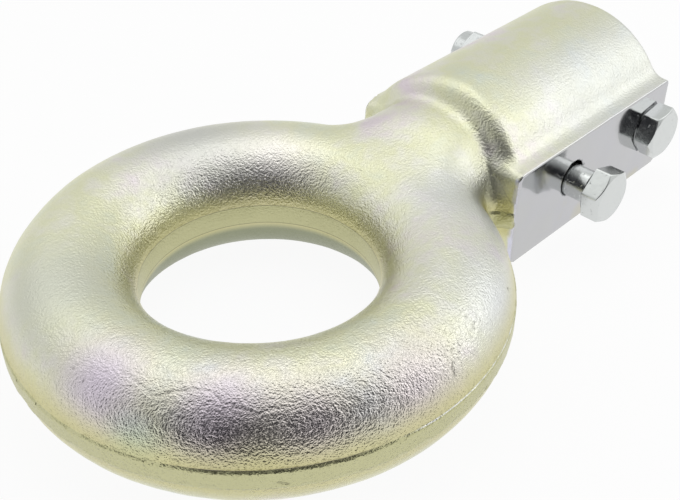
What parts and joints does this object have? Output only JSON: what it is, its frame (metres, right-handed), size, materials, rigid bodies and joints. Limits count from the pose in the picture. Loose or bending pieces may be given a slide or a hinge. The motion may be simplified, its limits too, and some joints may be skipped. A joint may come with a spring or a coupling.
{
  "type": "drawbar towing eye",
  "caption": "Forged steel towing eye: a round ring blended through a neck into a drawbar socket, open below, with cross bolts and lock nuts.",
  "frame": {"origin": "centre of the ring, on the middle plane of its bar", "axes": "+X along the shank towards the open end of the socket, +Z along the hole's axis, up, with the open side of the socket below; the bolt heads are at -Y and the nuts at +Y"},
  "size_m": [0.2576, 0.1608, 0.0579],
  "materials": {
    "forging": "rough forged, zinc plated with a pale yellow passivation",
    "bolt_zinc": "bright blue zinc",
    "nut_zinc": "bright blue zinc",
    "nylon": "natural nylon"
  },
  "bodies": {
    "root": {"towing_eye": "forging", "front_bolt": "bolt_zinc", "rear_bolt": "bolt_zinc", "front_nut": "nut_zinc", "rear_nut": "nut_zinc", "front_nut_insert": "nylon", "rear_nut_insert": "nylon"}
  },
  "joints": []
}
